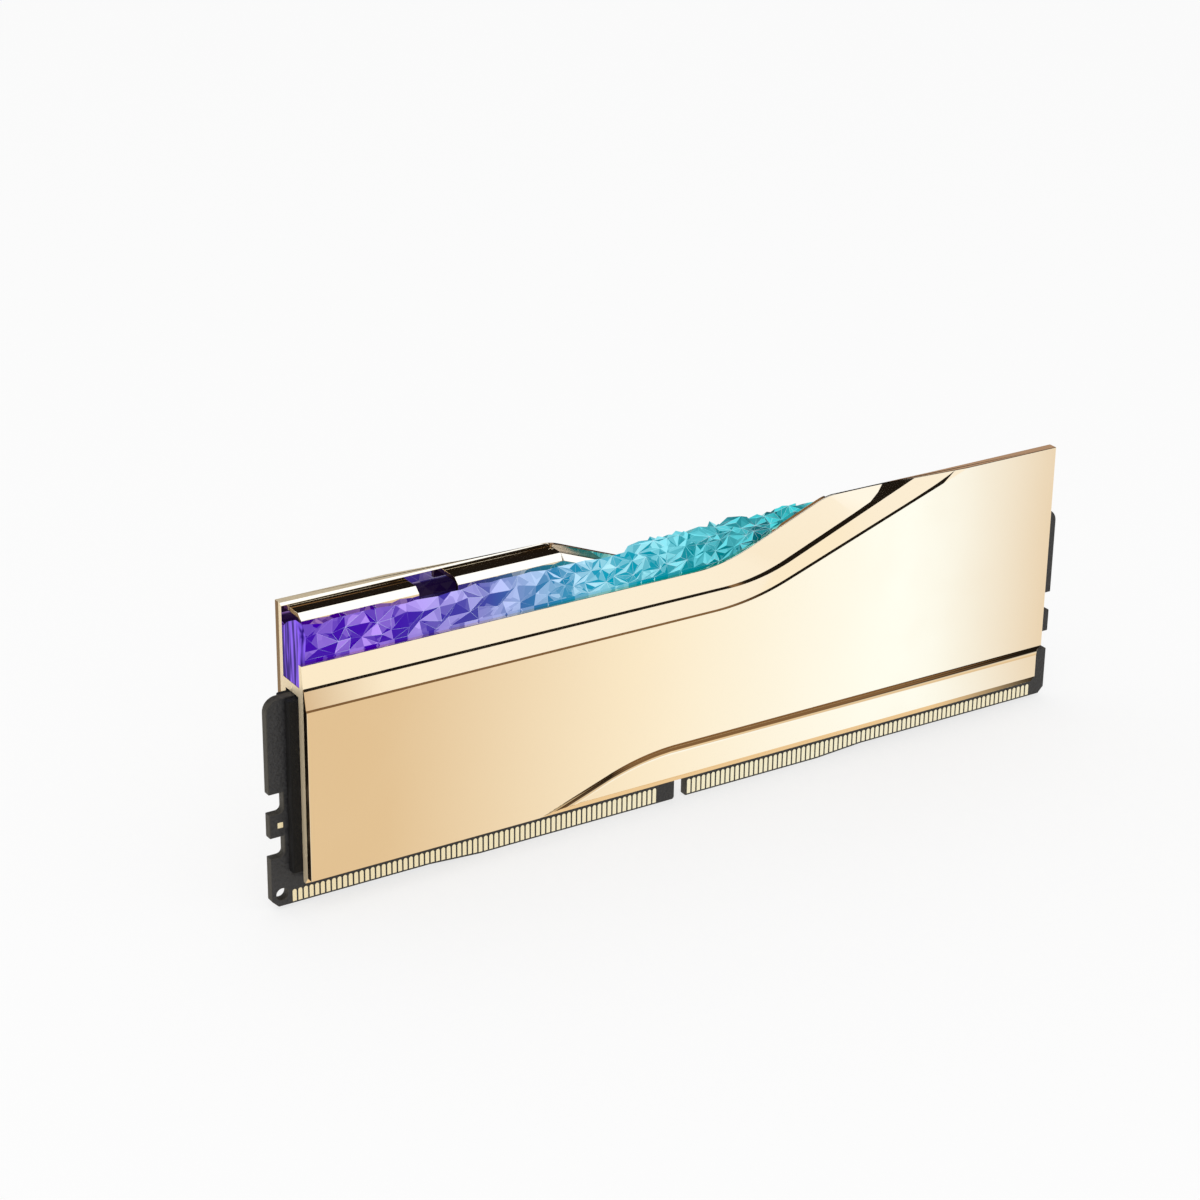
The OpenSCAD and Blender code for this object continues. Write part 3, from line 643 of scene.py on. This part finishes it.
facet_chance_and_shade(crystal, "facet", seed=11)
print("values for", len(crystal.data.attributes["facet"].data), "facets")

# %% Crystal material
INNER_SHARE = 0.22
GLOW_STRENGTH = 0.75
PLAIN_SHARE = 0.3
BEHIND_CLIPS = (0.006, 0.001, 0.03)
EDGE_SHINE = (0.75, 0.90, 1.0)
SMOOTH_END_TO = -61.5 * MM


def inner_cells(tree, place, facet):
    """A random value for each cell of a painted view into the resin, as far facets look through
    near ones.
    """
    # Each facet looks into the resin at another spot, so the cells break at its edges
    shift = tree.nodes.new("ShaderNodeVectorMath")
    shift.operation = "ADD"
    tree.links.new(place, shift.inputs[0])
    tree.links.new(calc(tree, "MULTIPLY", facet, 0.31), shift.inputs[1])
    node = tree.nodes.new("ShaderNodeTexVoronoi")
    node.inputs["Scale"].default_value = 450
    tree.links.new(shift.outputs["Vector"], node.inputs["Vector"])
    return part_of(tree, node.outputs["Color"], "X")


def crystal_glow(name, edge_highlight):
    """Glowing faceted resin, a painted glow; the second argument makes it lighter, a painted
    highlight along its edges.
    """
    material, tree, shader, place = new_material(name)
    share = along_module(tree, place)
    # The stored facet value is part chance and part painted shading by how the facet faces the
    # light
    stored = tree.nodes.new("ShaderNodeAttribute")
    stored.attribute_name = "facet"
    facet = stored.outputs["Fac"]
    value = calc(tree, "ADD", calc(tree, "MULTIPLY", facet, 1 - INNER_SHARE),
                 calc(tree, "MULTIPLY", inner_cells(tree, place, facet), INNER_SHARE))
    value = stretch(tree, value, edge_highlight * 0.4, 1 + edge_highlight, 0.42, 0.80)
    glow = blend_colours(tree, value, glow_tone(tree, share, 1), glow_tone(tree, share, 2))
    # Only here and there an edge catches the light
    catch = stretch(tree, noise(tree, place, 350, detail=0), 0, edge_highlight, 0.42, 0.62)
    glow = blend_colours(tree, catch, glow, EDGE_SHINE)
    # Behind the ridge the clips keep the light off the bar
    behind = stretch(tree, part_of(tree, place, "Y"), 0, 0.97, -1.5 * MM, -0.9 * MM)
    left = stretch(tree, share, 1, 0, 0.34, 0.38)
    glow = blend_colours(tree, calc(tree, "MULTIPLY", behind, left), glow, BEHIND_CLIPS)
    # The smooth left end has no facets, only upright streaks
    streaks = noise(tree, squashed(tree, place, (1, 1, 0.1)), 1600, detail=1)
    streaked = blend_colours(tree, stretch(tree, streaks, 0, 1, 0.4, 0.65),
                             (0.025, 0.006, 0.20), (0.26, 0.12, 0.90))
    at_end = calc(tree, "LESS_THAN", part_of(tree, place, "X"), SMOOTH_END_TO)
    glow = blend_colours(tree, at_end, glow, streaked)
    tree.links.new(glow, shader.inputs["Emission Color"])
    tree.links.new(blend_colours(tree, PLAIN_SHARE, (0.0, 0.0, 0.0), glow),
                   shader.inputs["Base Color"])
    shader.inputs["Emission Strength"].default_value = GLOW_STRENGTH
    shader.inputs["Specular IOR Level"].default_value = 0.06
    cloud = noise(tree, place, 300, detail=2)
    tree.links.new(stretch(tree, cloud, 0.04, 0.12), shader.inputs["Roughness"])
    shader.inputs["IOR"].default_value = 1.55
    return material


# The second material is the glow made lighter, a painted highlight for the bevelled edges
dress(crystal, crystal_glow("crystal", 0.0), crystal_glow("crystal_edge_highlight", 0.6))

# %% Bevel the edges of the crystals
only(crystal)
bevel = crystal.modifiers.new("edges", "BEVEL")
bevel.width = 0.08 * MM
bevel.segments = 1
bevel.limit_method = "ANGLE"
bevel.angle_limit = math.radians(4)
bevel.use_clamp_overlap = True
# The bevel faces get the lighter copy of the glow, a painted highlight
bevel.material = 1
bpy.ops.object.modifier_apply(modifier=bevel.name)
bpy.ops.object.shade_flat()
settle(crystal, "crystal", "light_bar")

# %% [markdown]
# ## The circuit board
#
# The board is glass-fibre laminate under a satin black solder mask. Its faces have the fine
# grain of the mask over the copper below, and its sawn edges show the browner laminate.

# %% Dress the board
def plain_grained(name, scale, depth, dark, light, smooth, rough):
    """A material of nothing but the grain."""
    material, tree, shader, place = new_material(name)
    grained(tree, shader, place, scale, depth, dark, light, smooth, rough)
    return material


SOLDER_MASK = plain_grained(
    "solder_mask", 2600, 0.05 * MM, (0.016, 0.016, 0.018), (0.036, 0.036, 0.038), 0.45, 0.6)
LAMINATE = plain_grained(
    "laminate_edge", 1500, 0.02 * MM, (0.028, 0.025, 0.019), (0.060, 0.053, 0.040), 0.5, 0.7)

board = loose_copy("circuit_board", "board")
join_flat_faces(board)
dress(board, SOLDER_MASK, LAMINATE)
for face in board.data.polygons:
    face.material_index = 0 if abs(face.normal.y) > 0.5 else 1
round_edges(board, 0.1 * MM, segments=2, sharper_than=25, edge_material=1)
settle(board, "board", "circuit_board")

# %% Foam at both ends, near black as painted shade of the gap
# The foam's near-black tones, darker than real foam, also paint the shade in the gap between board
# and plates
FOAM_AND_GAP_SHADE = plain_grained(
    "foam", 6000, 0.03 * MM, (0.002, 0.002, 0.002), (0.005, 0.005, 0.005), 0.8, 0.95)
foam = loose_copy("foam_strips", "foam")
join_flat_faces(foam)
dress(foam, FOAM_AND_GAP_SHADE)
round_edges(foam, 0.25 * MM, segments=3, sharper_than=25)
settle(foam, "foam", "foam_strips")

# %% [markdown]
# ## Contacts and marks
#
# The contacts are plated with hard gold, which is paler and less polished than the plates.
# Their faces have fine wipe marks along Z, where a socket's springs slide over them. They
# keep their CAD shape, so only the material changes.

# %% Contact gold
def contact_gold():
    """Hard gold with upright wipe marks."""
    material, tree, shader, place = new_material("contact_gold")
    shader.inputs["Metallic"].default_value = 1.0
    wipe = noise(tree, squashed(tree, place, (6, 1, 0.5)), 1200, detail=2)
    tree.links.new(blend_colours(tree, wipe, (1.0, 0.97, 0.76), (0.96, 0.88, 0.62)),
                   shader.inputs["Base Color"])
    tree.links.new(stretch(tree, wipe, 0.18, 0.34), shader.inputs["Roughness"])
    tree.links.new(bump(tree, wipe, 0.004 * MM, 0.4), shader.inputs["Normal"])
    return material


def keep_cad(material, *names):
    """Carried-over CAD nodes keep their shape and get a finished material."""
    for name in names:
        for index in range(len(nodes[name].material_slots)):
            nodes[name].material_slots[index].material = material
    print(material.name, "on", ", ".join(names))


keep_cad(contact_gold(), "contacts_front", "contacts_rear", "fiducial_marks")

# %% [markdown]
# ## The parts inside
#
# The plates hide the chips, pads, lamps and small parts, but each is a node of the model
# and can be looked at by itself. Moulded chips are grey-black with a fine matt grain, the
# pads are soft grey silicone, and the capacitors are tan ceramic with tinned ends.

# %% Chips and pads
MOULD = plain_grained(
    "chip_mould", 9000, 0.01 * MM, (0.012, 0.012, 0.013), (0.024, 0.024, 0.026), 0.45, 0.62)
SILICONE = plain_grained(
    "silicone_pad", 3500, 0.03 * MM, (0.17, 0.18, 0.20), (0.24, 0.25, 0.27), 0.75, 0.9)
FERRITE = plain_grained(
    "ferrite", 5000, 0.02 * MM, (0.030, 0.030, 0.032), (0.060, 0.058, 0.056), 0.5, 0.75)
keep_cad(MOULD, *(f"memory_chip_{i}" for i in range(1, 9)), "power_chip", "hub_chip",
         "lamp_driver")
keep_cad(SILICONE, "thermal_pad_left", "thermal_pad_right", "thermal_pad_power", "rear_pad")
keep_cad(FERRITE, "power_inductors")

# %% [markdown]
# A tinned end is a mask over the place of each part. The parts repeat at an even pitch, so
# the distance from the middle of the nearest one comes from a wrap of X.

# %% Small parts with tinned ends
TIN = (0.62, 0.62, 0.60)
CERAMIC = ((0.30, 0.20, 0.11), (0.42, 0.30, 0.18))
GLAZE = ((0.012, 0.012, 0.012), (0.03, 0.03, 0.03))
BYPASS_PITCH = 2.6 * MM
BYPASS_HALF_BODY = 0.27 * MM


def wrapped(tree, value, pitch, middle):
    """Signed distance from the nearest of a row of places, a pitch apart."""
    half = pitch / 2
    return calc(tree, "WRAP", calc(tree, "SUBTRACT", value, middle), half, -half)


def tinned(name, dark, light, end_mask):
    """A grained body whose ends, where end_mask says 1, are tin."""
    material, tree, shader, place = new_material(name)
    body = grained(tree, shader, place, 6000, 0.01 * MM, dark, light, 0.35, 0.55)
    mask = end_mask(tree, place)
    tree.links.new(blend_colours(tree, mask, body, TIN), shader.inputs["Base Color"])
    tree.links.new(mask, shader.inputs["Metallic"])
    return material


def node_span(name, axis):
    """The lowest and highest coordinate of a CAD node along an axis."""
    low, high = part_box(name)
    return low[axis], high[axis]


def ends_up_and_down(name, cap):
    """Masks the upper and lower ends of a row of parts, each end cap high."""
    low, high = node_span(name, 2)

    def mask(tree, place):
        from_middle = calc(tree, "ABSOLUTE", calc(
            tree, "SUBTRACT", part_of(tree, place, "Z"), (low + high) / 2))
        return calc(tree, "GREATER_THAN", from_middle, (high - low) / 2 - cap)

    return mask


chip_first = sum(node_span("memory_chip_5", 0)) / 2
chip_pitch = sum(node_span("memory_chip_6", 0)) / 2 - chip_first


def bypass_ends(tree, place):
    """Masks both ends of the bypass capacitors, which lie in rows under the chips."""
    off_centre = calc(tree, "ABSOLUTE", part_of(tree, place, "X"))
    from_row = wrapped(tree, off_centre, chip_pitch, chip_first)
    from_part = calc(tree, "ABSOLUTE", wrapped(tree, from_row, BYPASS_PITCH, 0))
    return calc(tree, "GREATER_THAN", from_part, BYPASS_HALF_BODY)


keep_cad(tinned("bulk_ceramic", *CERAMIC, ends_up_and_down("bulk_capacitors", 0.4 * MM)),
         "bulk_capacitors")
keep_cad(tinned("bypass_ceramic", *CERAMIC, bypass_ends), "bypass_capacitors")
keep_cad(tinned("resistor_glaze", *GLAZE, ends_up_and_down("resistor_arrays", 0.2 * MM)),
         "resistor_arrays")

# %% Lamps and light guides
LAMP_PITCH = 25 * MM
LENS_HALF_WIDTH = 0.6 * MM
LENS_HALF_HEIGHT = 0.42 * MM


def lamp_material():
    """A white body whose middle is a lens that glows in the tone of its place."""
    material, tree, shader, place = new_material("lamp")
    low, high = node_span("lamps_front", 2)
    sideways = calc(tree, "ABSOLUTE", wrapped(tree, part_of(tree, place, "X"), LAMP_PITCH, 0))
    upward = calc(tree, "ABSOLUTE", calc(
        tree, "SUBTRACT", part_of(tree, place, "Z"), (low + high) / 2))
    lens = calc(tree, "MULTIPLY", calc(tree, "LESS_THAN", sideways, LENS_HALF_WIDTH),
                calc(tree, "LESS_THAN", upward, LENS_HALF_HEIGHT))
    body = grained(tree, shader, place, 5000, 0.01 * MM, (0.70, 0.70, 0.68), (0.82, 0.82, 0.80),
                   0.3, 0.45)
    tone = glow_tone(tree, along_module(tree, place), 2)
    tree.links.new(blend_colours(tree, lens, body, tone), shader.inputs["Base Color"])
    tree.links.new(blend_colours(tree, lens, (0.0, 0.0, 0.0), tone),
                   shader.inputs["Emission Color"])
    shader.inputs["Emission Strength"].default_value = 1.0
    return material


def clear_guide():
    """Clear acrylic with a faint haze."""
    material, tree, shader, place = new_material("clear_guide")
    haze = noise(tree, place, 400, detail=2)
    tree.links.new(blend_colours(tree, haze, (0.93, 0.95, 0.97), (0.86, 0.90, 0.95)),
                   shader.inputs["Base Color"])
    tree.links.new(stretch(tree, haze, 0.02, 0.12), shader.inputs["Roughness"])
    shader.inputs["Transmission Weight"].default_value = 0.9
    shader.inputs["IOR"].default_value = 1.49
    return material


keep_cad(lamp_material(), "lamps_front", "lamps_rear")
keep_cad(clear_guide(), "light_guides")

# %% [markdown]
# ## The studio
#
# The module stands on a plain white floor under soft light. The world lights it evenly from
# all sides. A mirror would show that even light as one flat tone, so glossy rays see a
# studio instead: a bright floor that warms towards one side, a dark gap above the horizon,
# where the room lies behind the lamps, and a white soft box overhead. The pattern is the
# same when the module is turned half a turn, as the module's plates are.
#
# The plates are flat, so each face mirrors only a narrow strip of the studio. The tones
# below are placed by direction: azimuth is in degrees to the right of straight ahead, and
# elevation is in degrees above the horizon.

# %% Directions in the studio
PLAIN_LIGHT = 0.85
CREAM = (1.0, 0.97, 0.90)
SAND = (0.78, 0.63, 0.45)
WHITE = (1.0, 1.0, 1.0)
PALE_BLUE = (1.05, 1.1, 1.2)
COOL_WHITE = (1.05, 1.2, 1.4)
SOFT_BOX = (1.15, 1.28, 1.55)
DARK = (0.012, 0.009, 0.007)
BROWN = (0.22, 0.13, 0.065)
UMBER = (0.66, 0.50, 0.34)
TAN = (0.86, 0.66, 0.42)
COPPER = (0.42, 0.29, 0.22)
DEGREES = 180 / math.pi

world = bpy.data.worlds.new("studio")
bpy.context.scene.world = world
world.use_nodes = True
sky = world.node_tree
sky.nodes.clear()
direction = sky.nodes.new("ShaderNodeTexCoord").outputs["Generated"]
x, y, z = (part_of(sky, direction, axis) for axis in "XYZ")

# The azimuth is the same for a direction and its opposite
azimuth = calc(sky, "MULTIPLY", calc(sky, "ARCTANGENT", calc(sky, "DIVIDE", x, y)), -DEGREES)
elevation = calc(sky, "MULTIPLY", calc(sky, "ARCSINE", z), DEGREES)
off_side = calc(sky, "ABSOLUTE", azimuth)


def by_angle(angle, *stops):
    """A tone for each angle from -90 to 90 degrees."""
    share = calc(sky, "DIVIDE", calc(sky, "ADD", angle, 90), 180)
    return ramp(sky, share, [((degrees + 90) / 180, tone) for degrees, tone in stops])


def rising(angle, start, end):
    """0 before the angle start and 1 from the angle end on."""
    return stretch(sky, angle, 0, 1, start, end)


def falling(angle, start, end):
    """1 before the angle start and 0 from the angle end on."""
    return stretch(sky, angle, 1, 0, start, end)


def both(first, second):
    """A mask where both masks hold."""
    return calc(sky, "MULTIPLY", first, second)


print("tones are placed by azimuth and elevation")

# %% Below the horizon
# What the upright panels mirror: a sand floor with one cool white sheet on it
near_floor = by_angle(
    azimuth, (-60, CREAM), (10, CREAM), (26, SAND), (28, SAND), (33.5, CREAM),
    (39, COOL_WHITE), (42.3, SAND), (46, SAND), (60, CREAM))
# What the two bands mirror: the far floor and the wall
far_floor = by_angle(
    azimuth, (-60, CREAM), (25, CREAM), (27, WHITE), (33, WHITE), (35, PALE_BLUE),
    (41, PALE_BLUE), (60, CREAM))
below = blend_colours(sky, rising(elevation, -20, -15), near_floor, far_floor)

# What the hollow face over the recess mirrors: the bench close to the module, which gets
# dark towards the side and away from the module
bench = by_angle(
    azimuth, (-90, BROWN), (-86, BROWN), (-81, TAN), (-45, TAN), (-35, CREAM), (46, CREAM),
    (50, TAN), (55, BROWN), (90, BROWN))
nearness = calc(sky, "ADD", elevation,
                calc(sky, "MULTIPLY", calc(sky, "SUBTRACT", off_side, 90), 0.2))
dark_corner = both(rising(off_side, 50, 56), rising(nearness, -56.5, -54.5))
bench = blend_colours(sky, dark_corner, bench, DARK)
below = blend_colours(sky, falling(elevation, -48, -43), below, bench)

# At the left end the middle band mirrors a brown corner of the far wall
brown_corner = both(falling(azimuth, 23.6, 25.2),
                    both(rising(elevation, -8, -6), falling(elevation, -2.0, -1.2)))
below = blend_colours(sky, brown_corner, below, UMBER)

# A narrow black flag stands low at the left, for the sloped end of the middle clip
flag = both(falling(azimuth, -31, -29),
            both(rising(azimuth, -48, -46), rising(elevation, -12, -10)))
below = blend_colours(sky, flag, below, DARK)
print("floor, bench, corner and flag are in place")

# %% Above the horizon
# Over the floor comes the dark of the room, and then the soft box overhead. The dark leans
# a little, so that both steps of the relief keep their own tone along their whole length.
lean = stretch(sky, azimuth, -2.4, 2.4, 34, 46)
above = by_angle(
    calc(sky, "ADD", elevation, lean), (7.5, DARK), (31, DARK), (36, BROWN), (42, BROWN),
    (44.5, DARK), (48.5, DARK), (50.5, SOFT_BOX))
# The side box is for the middle clip's slope, the copper wall for the front plate's top
side_box = both(rising(off_side, 74, 77), rising(elevation, 22, 25))
above = blend_colours(sky, side_box, above, SOFT_BOX)
copper_wall = both(falling(azimuth, -37.5, -36), falling(elevation, 26, 30))
above = blend_colours(sky, copper_wall, above, COPPER)
surroundings = blend_colours(sky, rising(elevation, 5, 7.5), below, above)

path = sky.nodes.new("ShaderNodeLightPath")
mirrored = calc(sky, "MAXIMUM", path.outputs["Is Glossy Ray"], path.outputs["Is Transmission Ray"])
plain = blend_colours(sky, path.outputs["Is Camera Ray"], (PLAIN_LIGHT,) * 3, (1.0, 1.0, 1.0))
background = sky.nodes.new("ShaderNodeBackground")
sky.links.new(blend_colours(sky, mirrored, plain, surroundings), background.inputs["Color"])
output = sky.nodes.new("ShaderNodeOutputWorld")
sky.links.new(background.outputs["Background"], output.inputs["Surface"])
print("world has", len(sky.nodes), "nodes")

# %% [markdown]
# ## The floor
#
# The floor is a plain pale sheet. Glossy rays pass through it to the studio pattern, so the
# plates mirror an even ground and not their own shadow. For the camera the sheet is mostly
# plain white, and a share of the module's soft shadow stays on it.

# %% Floor
FLOOR_TONE = (0.97, 0.97, 0.97)
FLOOR_SIZE = 6
SHADOW_SHARE = 0.3
bpy.ops.object.select_all(action="DESELECT")
bpy.ops.mesh.primitive_plane_add(size=FLOOR_SIZE, location=(0, 0, cad_box[0].z - 0.05 * MM))
floor = bpy.context.active_object
floor.name = "floor"
material, tree, shader, _ = new_material("floor")
tree.nodes.remove(shader)
diffuse = tree.nodes.new("ShaderNodeBsdfDiffuse")
diffuse.inputs["Color"].default_value = (*FLOOR_TONE, 1)
white = tree.nodes.new("ShaderNodeEmission")
clear = tree.nodes.new("ShaderNodeBsdfTransparent")
path = tree.nodes.new("ShaderNodeLightPath")


def mix_shaders(factor, first, second):
    """Mixes two shaders of the floor."""
    node = tree.nodes.new("ShaderNodeMixShader")
    tree.links.new(factor, node.inputs["Fac"])
    tree.links.new(first, node.inputs[1])
    tree.links.new(second, node.inputs[2])
    return node.outputs["Shader"]


# The camera sees a white sheet with a share of its shadow, and a mirror sees through it
whitened = mix_shaders(calc(tree, "MULTIPLY", path.outputs["Is Camera Ray"], 1 - SHADOW_SHARE),
                       diffuse.outputs["BSDF"], white.outputs["Emission"])
through = calc(tree, "MAXIMUM", path.outputs["Is Glossy Ray"], path.outputs["Is Transmission Ray"])
tree.links.new(mix_shaders(through, whitened, clear.outputs["BSDF"]),
               tree.nodes["Material Output"].inputs["Surface"])
floor.data.materials.append(material)
print(floor.name, "under the contact edge")

# %% Key light
key = bpy.data.lights.new("key", "AREA")
key.size = 0.6
key.energy = 1.2
key_light = bpy.data.objects.new("key", key)
bpy.context.scene.collection.objects.link(key_light)
key_light.location = (-0.35, -0.45, 0.75)
key_light.rotation_euler = (-Vector(key_light.location)).to_track_quat("-Z", "Y").to_euler()
key_light.visible_glossy = False
print("key light at", tuple(key_light.location))

bpy.context.scene.view_settings.view_transform = "Standard"
